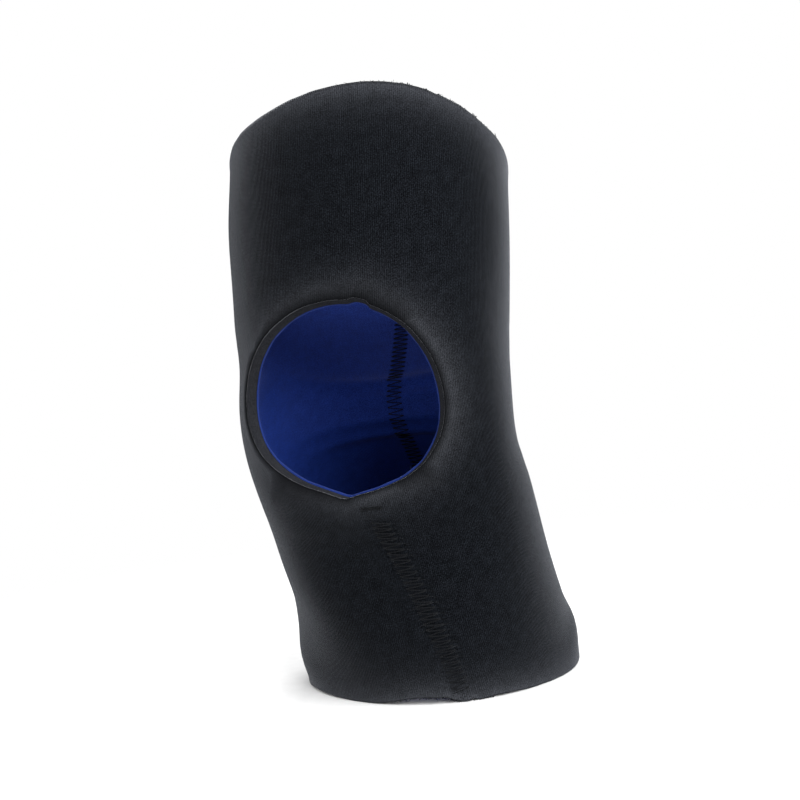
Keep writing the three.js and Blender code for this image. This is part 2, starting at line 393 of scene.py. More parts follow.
kneecapOpening = {
    "station": 156.4,
    "halfHeight": 23.0,
    "angle": -3.4,
    "halfAngle": 47.4,
    "eggAcross": -0.027,
    "eggUp": -0.015,
    "notchDepth": 0.1,
    "notchAngle": -92.0,
    "notchSpread": 9.0,
    "stepDepth": 0.035,
    "stepAngle": 71.0,
    "stepSpread": 4.5,
    "scissorWave": 0.0022,
}


def openingReach(direction):
    # the outline: a unit circle with a V notch below, a small step above and a scissor wave
    o = kneecapOpening
    fromNotch = np.abs(wrapped(direction - o["notchAngle"] * degree)) / (o["notchSpread"] * degree)
    fromStep = wrapped(direction - o["stepAngle"] * degree) / (o["stepSpread"] * degree)
    wave = waves(direction, 11, 22, o["scissorWave"])
    egg = o["eggAcross"] * np.cos(3 * direction) + o["eggUp"] * np.sin(3 * direction)
    notch = o["notchDepth"] * np.exp(-fromNotch)
    step = o["stepDepth"] * np.exp(-fromStep ** 4)
    return 1 + egg + notch + step + wave


def gridLine(count, dense, closed):
    # positions 0 to 1, closer together by a set factor inside given bells (centre, spread, factor)
    fine = np.linspace(0, 1, 4001)
    density = np.ones_like(fine)
    for centre, spread, factor in dense:
        density = density + factor * bell(fine, centre, spread)
    total = np.concatenate([[0], np.cumsum((density[1:] + density[:-1]) / 2)])
    wanted = np.linspace(0, total[-1], count + 1)
    line = np.interp(wanted, total, fine)
    return line[:-1] if closed else line


def sleeveGrid(layer, inset, block=None):
    # stations and angles of a grid that runs round and up the tube, with a square block of cells
    # left out and the points round it drawn on to the opening's outline
    o = kneecapOpening
    columns, rows = layer["columns"], layer["rows"]
    around = -np.pi + turn * gridLine(columns, layer["denseColumns"], True)
    up = gridLine(rows, layer["denseRows"], False)
    angle = np.broadcast_to(around[None, :], (rows + 1, columns)).copy()
    low = lowerStation(around, np.full(columns, inset))
    high = upperStation(around, np.full(columns, inset))
    s = low[None, :] + (high - low)[None, :] * up[:, None]

    blockShare = 0.85  # the left-out square, as a share of the outline's half sizes
    farRing = 2.0
    x = wrapped(angle - o["angle"] * degree) / (o["halfAngle"] * degree)
    y = (s - o["station"]) / o["halfHeight"]
    level = np.maximum(np.abs(x), np.abs(y)) / blockShare
    if block is None:
        rowIn = np.where((level < 1).any(axis=1))[0]
        colIn = np.where((level < 1).any(axis=0))[0]
        block = (rowIn[0] - 1, rowIn[-1] + 1, colIn[0] - 1, colIn[-1] + 1)
    r0, r1, c0, c1 = block
    rowIndex, colIndex = np.mgrid[0:rows + 1, 0:columns]
    onOrIn = (rowIndex >= r0) & (rowIndex <= r1) & (colIndex >= c0) & (colIndex <= c1)
    # rings are counted from the block's own edge, so that its points land on the outline
    reach = np.hypot(x, y)
    direction = np.arctan2(y, x)
    level = np.where(onOrIn, 1.0, np.maximum(level, 1.02))
    weight = fadeIn(level, 1.0, farRing)
    lip = layer["lip"](direction)
    ring = lip * openingReach(direction) + (level - 1) * blockShare
    drawn = (1 - weight) * ring / np.maximum(reach, 1e-6) + weight
    near = level < farRing
    angle = np.where(near, o["angle"] * degree + x * drawn * o["halfAngle"] * degree, angle)
    s = np.where(near, o["station"] + y * drawn * o["halfHeight"], s)
    return {"s": s, "angle": angle, "block": block}


def gridFaces(grid):
    # quads of the grid that stay, as corner indices and each corner's unwrapped angle
    rows, columns = grid["s"].shape
    index = np.arange(rows * columns).reshape(rows, columns)
    right = np.roll(index, -1, axis=1)
    r0, r1, c0, c1 = grid["block"]
    rowIndex, colIndex = np.mgrid[0:rows - 1, 0:columns]
    keep = ~((rowIndex >= r0) & (rowIndex < r1) & (colIndex >= c0) & (colIndex < c1))
    quads = np.stack([index[:-1], right[:-1], right[1:], index[1:]], axis=-1)[keep]
    angle = grid["angle"]
    rightAngle = np.roll(angle, -1, axis=1).copy()
    rightAngle[:, -1] += turn
    corners = np.stack([angle[:-1], rightAngle[:-1], rightAngle[1:], angle[1:]], axis=-1)[keep]
    return quads, corners


def openingLoop(grid):
    # the left-out block's edge as one closed run of point indices
    columns = grid["s"].shape[1]
    r0, r1, c0, c1 = grid["block"]
    bottom = [(r0, c) for c in range(c0, c1)]
    rightSide = [(r, c1) for r in range(r0, r1)]
    top = [(r1, c) for c in range(c1, c0, -1)]
    leftSide = [(r, c0) for r in range(r1, r0, -1)]
    return np.array([r * columns + c for r, c in bottom + rightSide + top + leftSide])


# painted light: beside every cut the cloth is coloured lighter, standing in for the glow of the bright
# backdrop round the edges; reaches in mm
paintedGlowForm = {"rimReach": 7.0, "openingReach": 6.0, "outlinePoints": 120}


def edgeWear(grid):
    # share of painted edge glow: 1 at a cut edge, dying away from it with the distance to the rims and to
    # the opening's outline
    o, w = kneecapOpening, paintedGlowForm
    s, angle = grid["s"], grid["angle"]
    fromRim = np.maximum(np.minimum(s - s[0][None, :], s[-1][None, :] - s), 0)
    direction = turn * np.arange(w["outlinePoints"]) / w["outlinePoints"]
    reach = openingReach(direction)
    outline = wallPoint(o["station"] + o["halfHeight"] * reach * np.sin(direction),
                        (o["angle"] + o["halfAngle"] * reach * np.cos(direction)) * degree, 0.0)
    points = wallPoint(s, angle, 0.0)
    fromOpening = np.full(s.shape, 1.0)
    for corner in outline:
        fromOpening = np.minimum(fromOpening, np.linalg.norm(points - corner, axis=-1))
    opening = np.exp(-fromOpening / mm / w["openingReach"])
    return np.clip(np.exp(-fromRim / w["rimReach"]) + opening, 0, 1)


def makeMesh(name, points, quads, uv=None, values=None):
    # a mesh object from whole arrays: quads, one uv pair a corner, named values a point
    mesh = bpy.data.meshes.new(name)
    mesh.from_pydata(points.tolist(), [], quads.tolist())
    if uv is not None:
        layer = mesh.uv_layers.new(name="weave")
        layer.data.foreach_set("uv", uv.astype(np.float32).ravel())
    for key, value in (values or {}).items():
        attribute = mesh.attributes.new(key, "FLOAT", "POINT")
        attribute.data.foreach_set("value", value.astype(np.float32))
    mesh.polygons.foreach_set("use_smooth", np.ones(len(mesh.polygons), bool))
    mesh.validate(clean_customdata=False)
    mesh.update()
    piece = bpy.data.objects.new(name, mesh)
    bpy.context.scene.collection.objects.link(piece)
    return piece


def pointsOutward(points, quads):
    # the signed volume of a closed mesh is positive when its faces point out
    p = points[quads]
    one = np.einsum("ij,ij->i", p[:, 0], np.cross(p[:, 1], p[:, 2])).sum()
    two = np.einsum("ij,ij->i", p[:, 0], np.cross(p[:, 2], p[:, 3])).sum()
    return one + two > 0


edgeStride = 1.1  # mm of pattern for one step round a cut edge


def layerPiece(name, layer):
    # one closed layer of the laminate: a grid on each side, joined by edge rows at the two rims
    # and round the opening; the rows bulge by a set amount, as a cut edge does
    steps = layer["edgeSteps"]
    outer = sleeveGrid(layer, layer["outer"])
    inner = sleeveGrid(layer, layer["inner"], outer["block"])
    rows, columns = outer["s"].shape
    sides = []
    for grid, inset, height in ((outer, layer["outer"], layer["outerHeight"]),
                                (inner, layer["inner"], layer["innerHeight"])):
        s, angle = grid["s"], grid["angle"]
        low, high = s[0][None, :], s[-1][None, :]
        roll = softRelief["rimRoll"] * (np.exp(-(s - low) / softRelief["rimRollReach"])
                                        + np.exp(-(high - s) / softRelief["rimRollReach"]))
        sides.append(wallPoint(s, angle, inset - height(s, angle) - roll).reshape(-1, 3))
    quads, cornerAngle = gridFaces(outer)
    count = rows * columns
    flatS = clothLength(outer["s"], outer["angle"]).reshape(-1)
    once = np.arange(columns)
    loops = [once, openingLoop(outer)[::-1], (rows - 1) * columns + once[::-1]]
    stepIn = [once + columns, None, (rows - 2) * columns + once[::-1]]
    points = [sides[0], sides[1]]
    faces = [quads, quads[:, ::-1] + count]
    uvs = [np.stack([cornerAngle * layer["uvRadius"], flatS[quads]], -1) * mm]
    uvs.append(uvs[0][:, ::-1])
    edge = [np.zeros(count), np.zeros(count)]
    paintedGlowShare = [edgeWear(outer).reshape(-1), edgeWear(inner).reshape(-1)]
    made = 2 * count
    for loop, neighbour in zip(loops, stepIn):
        if neighbour is None:
            s, angle = outer["s"].reshape(-1)[loop], outer["angle"].reshape(-1)[loop]
            o = kneecapOpening
            wider = 1.03
            farS = o["station"] + (s - o["station"]) * wider
            farAngle = o["angle"] * degree + (angle - o["angle"] * degree) * wider
            away = wallPoint(s, angle, layer["outer"]) - wallPoint(farS, farAngle, layer["outer"])
        else:
            away = sides[0][loop] - sides[0][neighbour]
        away = away / np.linalg.norm(away, axis=1, keepdims=True)
        first, last = sides[0][loop], sides[1][loop]
        n = len(loop)
        grain = np.random.default_rng(len(loop)).uniform(-1, 1, (steps + 1, n)) * layer["edgeGrain"]
        ringIndex = [loop]
        for k in range(1, steps):
            share = k / steps
            bulge = layer["edgeBulge"] * np.sin(np.pi * share) + grain[k]
            points.append(first + (last - first) * share + away * bulge[:, None] * mm)
            edge.append(np.ones(n))
            paintedGlowShare.append(np.ones(n))
            ringIndex.append(made + np.arange(n))
            made += n
        ringIndex.append(loop + count)
        edge[0][loop] = 1
        edge[1][loop] = 1
        for a, b in zip(ringIndex[:-1], ringIndex[1:]):
            strip = np.stack([a, b, np.roll(b, -1), np.roll(a, -1)], axis=-1)
            faces.append(strip)
            length = np.arange(n) * edgeStride
            v = np.stack([length, length, length + edgeStride, length + edgeStride], -1)
            u = np.broadcast_to(np.array([0.0, 1.0, 1.0, 0.0]), v.shape)
            uvs.append(np.stack([u, v], -1) * mm)
    points = np.concatenate(points)
    faces = np.concatenate(faces)
    uv = np.concatenate(uvs)
    if not pointsOutward(points, faces):
        faces, uv = faces[:, ::-1], uv[:, ::-1]
    edge = np.concatenate(edge)
    # points inside the opening belong to no face and are dropped
    used = np.zeros(len(points), bool)
    used[faces] = True
    renumber = np.cumsum(used) - 1
    values = {"cutEdge": edge[used], "edgeWear": np.concatenate(paintedGlowShare)[used]}
    piece = makeMesh(name, points[used], renumber[faces], uv, values)
    print(name, len(faces) * 2, "triangles")
    return piece


def evenLip(direction):
    return np.ones_like(direction)


def belowOpening(direction):
    # 1 at the foot of the opening, where the cut slants under the face
    return bell(wrapped(direction + 90 * degree), 0.0, 50 * degree)


def spongeLip(direction):
    return 1.004 + 0.04 * belowOpening(direction)


def liningLip(direction):
    # the lining shows past the sponge in places, most at the lower left, and hides at the top
    ragged = np.sin(5 * direction + 0.4) + 0.7 * np.sin(11 * direction + 2.0)
    ragged = ragged + 0.8 * np.sin(19 * direction + 0.9) + 0.7 * np.sin(27 * direction + 2.6)
    side = 0.5 - 0.5 * np.cos(direction - 50 * degree)
    return 1.004 - 0.008 * side - 0.0026 * ragged + 0.028 * belowOpening(direction)


# layers of the laminate, insets in mm from the face; the seams get the close columns
seamColumns = [(0.5 + 13 / 360, 0.034, 7.0), (0.0, 0.018, 3.0), (1.0, 0.018, 3.0)]
shinRows = [(0.2, 0.2, 3.0)]

faceJersey = {
    "outer": 0.0, "inner": 0.6, "lip": evenLip, "columns": 150, "rows": 310,
    "denseColumns": seamColumns, "denseRows": shinRows,
    "outerHeight": faceHeight, "innerHeight": faceHeight,
    "edgeSteps": 3, "edgeBulge": 0.08, "edgeGrain": 0.05, "uvRadius": 62.0,
}

neopreneCore = {
    "outer": 0.66, "inner": 4.84, "lip": spongeLip, "columns": 120, "rows": 120,
    "denseColumns": seamColumns, "denseRows": [],
    "outerHeight": coreHeight, "innerHeight": softHeight,
    "edgeSteps": 9, "edgeBulge": -0.25, "edgeGrain": 0.11, "uvRadius": 62.0,
}

liningJersey = {
    "outer": 4.9, "inner": 5.5, "lip": liningLip, "columns": 150, "rows": 180,
    "denseColumns": seamColumns, "denseRows": shinRows,
    "outerHeight": softHeight, "innerHeight": softHeight,
    "edgeSteps": 3, "edgeBulge": 0.10, "edgeGrain": 0.05, "uvRadius": 57.0,
}


def surfacePoint(s, angle, height, side):
    # a point at a height over the face (side 1) or over the lining (side -1)
    if side > 0:
        return wallPoint(s, angle, -faceHeight(s, angle) - height)
    return wallPoint(s, angle, sleeveForm["wallThickness"] - softHeight(s, angle) + height)


def tubePiece(name, path, upward, radius, sides, breaks=None):
    # a round section carried along a path: each ring lies square to the path's direction, turned
    # so that its first point faces along the upward direction; several runs are split at breaks
    runs = np.split(np.arange(len(path)), breaks) if breaks is not None else [np.arange(len(path))]
    tangent = np.zeros_like(path)
    for run in runs:
        tangent[run] = np.gradient(path[run], axis=0)
    tangent /= np.linalg.norm(tangent, axis=1, keepdims=True)
    sideways = np.cross(tangent, upward)
    sideways /= np.linalg.norm(sideways, axis=1, keepdims=True)
    lift = np.cross(sideways, tangent)
    around = turn * np.arange(sides) / sides
    thick = np.broadcast_to(radius, len(path))[:, None, None] * mm
    ring = np.cos(around)[None, :, None] * lift[:, None] + np.sin(around)[None, :, None] * sideways[:, None]
    points = (path[:, None] + ring * thick).reshape(-1, 3)
    length = np.concatenate([[0], np.cumsum(np.linalg.norm(np.diff(path, axis=0), axis=1))])
    faces, uvs, caps = [], [], []
    for run in runs:
        index = run[:, None] * sides + np.arange(sides)[None]
        nextRound = np.roll(index, -1, axis=1)
        faces.append(np.stack([index[:-1], index[1:], nextRound[1:], nextRound[:-1]], -1).reshape(-1, 4))
        v = np.broadcast_to(length[run][:, None], index.shape)
        u = np.broadcast_to(np.arange(sides) / sides, index.shape)
        uNext = u + 1 / sides
        uvs.append(np.stack([np.stack([u[:-1], u[1:], uNext[1:], uNext[:-1]], -1),
                             np.stack([v[:-1], v[1:], v[1:], v[:-1]], -1)], -1).reshape(-1, 4, 2))
        caps += [index[0].tolist(), index[-1][::-1].tolist()]
    faces = np.concatenate(faces)
    if not pointsOutward(points, faces):
        faces = faces[:, ::-1]
        uvs = [u[:, ::-1] for u in uvs]
        caps = [cap[::-1] for cap in caps]
    mesh = bpy.data.meshes.new(name)
    mesh.from_pydata(points.tolist(), [], faces.tolist() + caps)
    flatUv = np.concatenate([np.concatenate(uvs).reshape(-1, 2), np.zeros((len(caps) * sides, 2))])
    layer = mesh.uv_layers.new(name="weave")
    layer.data.foreach_set("uv", flatUv.astype(np.float32).ravel())
    mesh.polygons.foreach_set("use_smooth", np.ones(len(mesh.polygons), bool))
    mesh.update()
    piece = bpy.data.objects.new(name, mesh)
    bpy.context.scene.collection.objects.link(piece)
    return piece


def awayFromWall(s, angle, side):
    # the direction square to the wall, out of the face or into the sleeve
    return (wallPoint(s, angle, -1.0) - wallPoint(s, angle, 0.0)) * side


threadForm = {"radius": 0.21, "sides": 6, "pointsPerStitch": 8, "lift": 0.22, "dive": 0.75}


def zigzagPiece(name, fromStation, toStation, angleAt, side):
    # a stitch crosses the seam from one needle row to the other: straight across the cloth,
    # lifted a little in its middle and diving through the cloth at both ends
    t = threadForm
    pitch = seamForm["pitch"]
    fine = np.linspace(fromStation, toStation, 2000)
    length = clothLength(fine, angleAt(fine))
    if side < 0:
        line = surfacePoint(fine, angleAt(fine), 0.0, side) / mm
        length = np.concatenate([[0], np.cumsum(np.linalg.norm(np.diff(line, axis=0), axis=1))])
    # needle dimples lie at whole pitches on one row and at half pitches on the other
    first = np.ceil(length[0] / pitch) * pitch + pitch / 2
    stitches = int((length[-1] - first) / (pitch / 2))
    step = np.arange(stitches * t["pointsPerStitch"] + 1) / t["pointsPerStitch"]
    within = step - np.floor(step)
    start = np.where(np.floor(step) % 2 == 0, -1.0, 1.0)
    across = start * (1 - 2 * within) * seamForm["width"] / 2
    s = np.interp(first + step * pitch / 2, length, fine)
    ends = np.abs(2 * within - 1) ** 8
    height = t["radius"] + t["lift"] * np.sin(np.pi * within) - t["dive"] * ends
    angle = angleAt(s) + across / halfWidth(s, angleAt(s))
    path = surfacePoint(s, angle, height, side)
    return tubePiece(name, path, awayFromWall(s, angle, side), t["radius"], t["sides"])


def barTackPiece():
    # upright satin stitches side by side: a close zigzag whose height is the tack's height
    b = barTackForm
    step = np.arange(b["stitches"] * b["pointsPerStitch"] + 1) / b["pointsPerStitch"]
    within = step - np.floor(step)
    swing = np.where(np.floor(step) % 2 == 0, 1.0, -1.0) * (2 * within - 1)
    middle = b["angle"] * degree
    clothStretch = clothLength(b["station"] + 0.5, middle) - clothLength(b["station"] - 0.5, middle)
    width = halfWidth(np.array([b["station"]]), np.array([middle]))[0]
    angle = middle + (step / b["stitches"] - 0.5) * b["width"] / width
    s = b["station"] + swing * b["height"] / 2 / clothStretch
    height = b["radius"] + b["lift"] * (1 - swing ** 2) - b["dive"] * swing ** 8
    path = surfacePoint(s, angle, height, 1)
    return tubePiece("barTack", path, awayFromWall(s, angle, 1), b["radius"], 6)


frayForm = {
    "loose": 40,
    "upperTufts": [34.0, 47.0, 52.0, 64.0, 80.0],
    "lowerTufts": [11.0, 17.0, 23.0],
    "perTuft": 7,
    "tuftSpread": 0.45,
    "fringe": [(0, 65.0, 22.0, 170), (1, 17.0, 9.0, 90)],
    "radius": 0.06,
    "tuftRadius": 0.12,
    "points": 7,
    "length": 1.8,
    "fringeLength": 1.3,
}


def frayPiece():
    # stray filaments at the cut edges: each starts at an edge and curls away in a random arc;
    # some stand alone, others stand together in tufts or in a short fringe along a rim
    f = frayForm
    draw = np.random.default_rng(21)
    kind = draw.choice(3, f["loose"], p=[0.4, 0.3, 0.3])
    angle = np.where(kind == 0, draw.normal(34, 22, f["loose"]), draw.normal(18, 12, f["loose"]))
    for rim, tufts in ((0, f["upperTufts"]), (1, f["lowerTufts"])):
        middles = np.repeat(tufts, f["perTuft"])
        kind = np.concatenate([kind, np.full(len(middles), rim)])
        angle = np.concatenate([angle, middles + draw.normal(0, f["tuftSpread"], len(middles))])
    standing = len(kind)
    for rim, middle, spread, count in f["fringe"]:
        kind = np.concatenate([kind, np.full(count, rim)])
        angle = np.concatenate([angle, draw.normal(middle, spread, count)])
    n = len(kind)
    angle = angle * degree
    direction = draw.uniform(0, turn, n)
    o = kneecapOpening
    holeS = o["station"] + o["halfHeight"] * np.sin(direction)
    holeAngle = (o["angle"] + o["halfAngle"] * np.cos(direction)) * degree
    zero = np.full(n, 0.3)
    s = np.where(kind == 1, lowerStation(angle, zero), holeS)
    s = np.where(kind == 0, upperStation(angle, zero), s)
    angle = np.where(kind == 2, holeAngle, angle)
    root = wallPoint(s, angle, zero - softHeight(s, angle))
    out = awayFromWall(s, angle, 1) / mm
    farS = s + np.where(kind == 0, -1.0, np.where(kind == 1, 1.0, 0.06 * (s - o["station"])))
    farAngle = np.where(kind == 2, o["angle"] * degree + (angle - o["angle"] * degree) * 1.06, angle)
    away = root - wallPoint(farS, farAngle, zero - softHeight(farS, farAngle))
    away /= np.linalg.norm(away, axis=1, keepdims=True)
    along = np.cross(out, away)
    order = np.arange(n)
    length = np.where(order < standing, f["length"], f["fringeLength"]) * draw.uniform(0.35, 1.0, n) * mm
    radius = np.where(order < f["loose"], f["radius"], f["tuftRadius"])
    curl = draw.uniform(-1.2, 1.2, n)
    rise = draw.uniform(0.1, 0.9, n)
    t = np.linspace(-0.25, 1, f["points"])[None, :, None]
    pull = length[:, None, None] * t
    path = root[:, None] + away[:, None] * pull * 0.7 + out[:, None] * pull * rise[:, None, None] * 0.6
    path = path + along[:, None] * pull * np.abs(t) * curl[:, None, None]
    path[..., 2] = np.maximum(path[..., 2], 0.1 * mm)
    upward = np.broadcast_to(out[:, None], path.shape).reshape(-1, 3)
    breaks = np.arange(1, n) * f["points"]
    radius = np.repeat(radius, f["points"])
    return tubePiece("frayedFilaments", path.reshape(-1, 3), upward, radius, 4, breaks)


def addNode(tree, kind, settings=None, inputs=None, links=None):
    # one node with its settings, its constant inputs, and links from other nodes' outputs
    node = tree.nodes.new(kind)
    for key, value in (settings or {}).items():
        setattr(node, key, value)
    for key, value in (inputs or {}).items():
        node.inputs[key].default_value = value
    for key, source in (links or {}).items():
        tree.links.new(source, node.inputs[key])
    return node


def startMaterial(name):
    material = bpy.data.materials.new(name)
    material.use_nodes = True
    tree = material.node_tree
    shader = tree.nodes["Principled BSDF"]
    return material, tree, shader


def ramp(tree, source, stops):
    node = addNode(tree, "ShaderNodeValToRGB", links={"Fac": source})
    elements = node.color_ramp.elements
    while len(elements) < len(stops):
        elements.new(0.5)
    for element, (position, colour) in zip(elements, stops):
        element.position = position
        element.color = linearColour(colour)
    return node.outputs["Color"]


def jerseyMaterial(name, look):
    # warp-knit nylon jersey: fine upright wales crossed by courses, matt, with a soft sheen of
    # loose filaments at grazing angles; the eye gets a fine cord-like rib and faint mottling
    material, tree, shader = startMaterial(name)
    uv = addNode(tree, "ShaderNodeUVMap", {"uv_map": "weave"}).outputs["UV"]
    coarse = addNode(tree, "ShaderNodeTexNoise", inputs={"Scale": look["driftScale"], "Detail": 3.0},
                     links={"Vector": uv})
    drifted = addNode(tree, "ShaderNodeVectorMath", {"operation": "MULTIPLY_ADD"},
                      {1: (look["drift"],) * 3}, {0: coarse.outputs["Color"], 2: uv}).outputs["Vector"]
    wales = addNode(tree, "ShaderNodeTexWave", {"wave_type": "BANDS", "bands_direction": "X"},
                    {"Scale": turn / (look["walePitch"] * mm) / 20, "Distortion": 0.6,
                     "Detail": 2.0, "Detail Scale": 3.0}, {"Vector": drifted}).outputs["Fac"]
    courses = addNode(tree, "ShaderNodeTexWave", {"wave_type": "BANDS", "bands_direction": "Y"},
                      {"Scale": turn / (look["coursePitch"] * mm) / 20, "Distortion": 1.2,
                       "Detail": 2.0, "Detail Scale": 2.0}, {"Vector": drifted}).outputs["Fac"]
    loops = addNode(tree, "ShaderNodeMath", {"operation": "MULTIPLY_ADD"}, {1: 0.45},
                    {0: courses, 2: wales}).outputs["Value"]
    fuzz = addNode(tree, "ShaderNodeTexNoise", inputs={"Scale": 1 / (0.35 * mm), "Detail": 2.0},
                   links={"Vector": uv}).outputs["Fac"]
    height = addNode(tree, "ShaderNodeMath", {"operation": "MULTIPLY_ADD"}, {1: 0.5},
                     {0: fuzz, 2: loops}).outputs["Value"]
    bump = addNode(tree, "ShaderNodeBump", links={"Height": height},
                   inputs={"Strength": look["ribStrength"], "Distance": look["ribHeight"] * mm})
    # colour: painted shade in the grooves between wales, mottling of the dye, specks of single filaments
    mottle = addNode(tree, "ShaderNodeTexNoise", links={"Vector": uv},
                     inputs={"Scale": 1 / (5 * mm), "Detail": 5.0, "Roughness": 0.75}).outputs["Fac"]
    speck = addNode(tree, "ShaderNodeTexNoise", links={"Vector": uv},
                    inputs={"Scale": 1 / (look["speckSize"] * mm), "Detail": 2.0}).outputs["Fac"]
    tone = addNode(tree, "ShaderNodeMath", {"operation": "MULTIPLY_ADD"}, {1: 2.4},
                   {0: speck, 2: mottle}).outputs["Value"]
    tone = addNode(tree, "ShaderNodeMath", {"operation": "MULTIPLY_ADD"}, {1: 0.3},
                   {0: loops, 2: tone}).outputs["Value"]
    tone = addNode(tree, "ShaderNodeMapRange", inputs={"From Min": 1.35, "From Max": 2.45},
                   links={"Value": tone}).outputs["Result"]
    dyeAndGrooveShade = ramp(tree, tone, [(0.0, look["dark"]), (0.5, look["middle"]), (1.0, look["light"])])
    # painted light: towards the cut edges the colour is mixed into a lighter ramp, standing in for the glow
    # of the bright backdrop round the edges
    paintedGlowRamp = ramp(tree, tone, [(0.0, look["stretchedDark"]), (1.0, look["stretched"])])
    paintedGlowShare = addNode(tree, "ShaderNodeAttribute", {"attribute_name": "edgeWear"}).outputs["Fac"]
    stretched = addNode(tree, "ShaderNodeMix", {"data_type": "RGBA"}, {},
                        {"Factor": paintedGlowShare, "A": dyeAndGrooveShade, "B": paintedGlowRamp}).outputs[2]
    cut = addNode(tree, "ShaderNodeAttribute", {"attribute_name": "cutEdge"}).outputs["Fac"]
    colour = addNode(tree, "ShaderNodeMix", {"data_type": "RGBA"}, {"B": linearColour(look["cutEnds"])},
                     {"Factor": cut, "A": stretched}).outputs[2]
    tree.links.new(colour, shader.inputs["Base Color"])
    tree.links.new(bump.outputs["Normal"], shader.inputs["Normal"])
    rough = addNode(tree, "ShaderNodeMapRange", links={"Value": mottle},
                    inputs={"To Min": look["roughness"] - 0.08,
                            "To Max": look["roughness"] + 0.08}).outputs["Result"]
    tree.links.new(rough, shader.inputs["Roughness"])
    shader.inputs["IOR"].default_value = 1.53  # nylon
    shader.inputs["Specular IOR Level"].default_value = look["specular"]
    shader.inputs["Sheen Weight"].default_value = look["sheen"]
    shader.inputs["Sheen Roughness"].default_value = look["sheenRoughness"]
    shader.inputs["Sheen Tint"].default_value = linearColour(look["sheenTint"])
    return material


# black jersey; the wales are drawn at their real pitch
blackJerseyLook = {
    "walePitch": 0.85, "coursePitch": 0.62, "driftScale": 1 / (14 * mm), "drift": 0.0006,
    "ribStrength": 0.7, "ribHeight": 0.16, "speckSize": 0.6,
    "dark": "#010102", "middle": "#0b0d10", "light": "#1b1e23",
    "stretchedDark": "#1f2023", "stretched": "#43454a", "cutEnds": "#0e0f11",
    "roughness": 0.72, "specular": 0.01,
    "sheen": 0.37, "sheenRoughness": 0.27, "sheenTint": "#e6eaf4",
}

blueLiningLook = {
    "walePitch": 0.7, "coursePitch": 0.5, "driftScale": 1 / (14 * mm), "drift": 0.0005,
    "ribStrength": 0.5, "ribHeight": 0.12, "speckSize": 0.5,
    "dark": "#0f2158", "middle": "#182f78", "light": "#243f92",
    "stretchedDark": "#182f78", "stretched": "#244092", "cutEnds": "#182c6c",
    "roughness": 0.7, "specular": 0.1,
    "sheen": 0.12, "sheenRoughness": 0.35, "sheenTint": "#c4cef0",
}


def spongeMaterial():
    # closed-cell chloroprene sponge, knife cut: matt dark grey with fine open pores
    material, tree, shader = startMaterial("chloropreneSponge")
    place = addNode(tree, "ShaderNodeTexCoord").outputs["Object"]
    pores = addNode(tree, "ShaderNodeTexVoronoi", inputs={"Scale": 1 / (0.45 * mm)},
                    links={"Vector": place})
    cloud = addNode(tree, "ShaderNodeTexNoise", inputs={"Scale": 1 / (2.5 * mm), "Detail": 4.0},
                    links={"Vector": place}).outputs["Fac"]
    height = addNode(tree, "ShaderNodeMath", {"operation": "MULTIPLY_ADD"}, {1: 0.6},
                     {0: cloud, 2: pores.outputs["Distance"]}).outputs["Value"]
    bump = addNode(tree, "ShaderNodeBump", inputs={"Strength": 0.8, "Distance": 0.2 * mm},
                   links={"Height": height})
    # painted shade: the grey is darker where the height is low, in the pores; the cloudy part is the
    # sponge's own tone
    greyWithPaintedPoreShade = ramp(tree, height, [(0.25, "#0e0f11"), (0.6, "#191a1d"), (0.95, "#25262a")])
    tree.links.new(greyWithPaintedPoreShade, shader.inputs["Base Color"])
    tree.links.new(bump.outputs["Normal"], shader.inputs["Normal"])
    shader.inputs["Roughness"].default_value = 0.92
    shader.inputs["IOR"].default_value = 1.52
    shader.inputs["Specular IOR Level"].default_value = 0.08
    return material


def threadMaterial():
    # spun polyester thread: plies twisted at a slant, black with a low gloss
    material, tree, shader = startMaterial("polyesterThread")
    uv = addNode(tree, "ShaderNodeUVMap", {"uv_map": "weave"}).outputs["UV"]
    slant = addNode(tree, "ShaderNodeMapping", {"vector_type": "POINT"},
                    {"Scale": (2.0, 1 / (0.55 * mm), 1.0)}, {"Vector": uv}).outputs["Vector"]
    slant = addNode(tree, "ShaderNodeVectorRotate", {"rotation_type": "Z_AXIS"}, {"Angle": 0.6},
                    {"Vector": slant}).outputs["Vector"]
    plies = addNode(tree, "ShaderNodeTexWave", {"bands_direction": "Y"}, {"Scale": 0.32, "Distortion": 0.3},
                    {"Vector": slant}).outputs["Fac"]
    bump = addNode(tree, "ShaderNodeBump", inputs={"Strength": 0.7, "Distance": 0.06 * mm},
                   links={"Height": plies})
    # painted shade: the ramp darkens the grooves between the plies
    shade = ramp(tree, plies, [(0.1, "#050608"), (0.9, "#14161a")])
    tree.links.new(shade, shader.inputs["Base Color"])
    tree.links.new(bump.outputs["Normal"], shader.inputs["Normal"])
    shader.inputs["Roughness"].default_value = 0.5
    shader.inputs["IOR"].default_value = 1.57
    shader.inputs["Specular IOR Level"].default_value = 0.04
    shader.inputs["Sheen Weight"].default_value = 0.05
    return material


def filamentMaterial():
    # loose nylon filaments: thin, so the light catches them and they look greyer than the cloth
    material, tree, shader = startMaterial("nylonFilament")
    place = addNode(tree, "ShaderNodeTexCoord").outputs["Object"]
    tone = addNode(tree, "ShaderNodeTexNoise", inputs={"Scale": 1 / (4 * mm)},
                   links={"Vector": place}).outputs["Fac"]
    shade = ramp(tree, tone, [(0.3, "#08090b"), (0.7, "#202227")])
    tree.links.new(shade, shader.inputs["Base Color"])
    shader.inputs["Roughness"].default_value = 0.45
    shader.inputs["IOR"].default_value = 1.53
    shader.inputs["Specular IOR Level"].default_value = 0.1
    return material


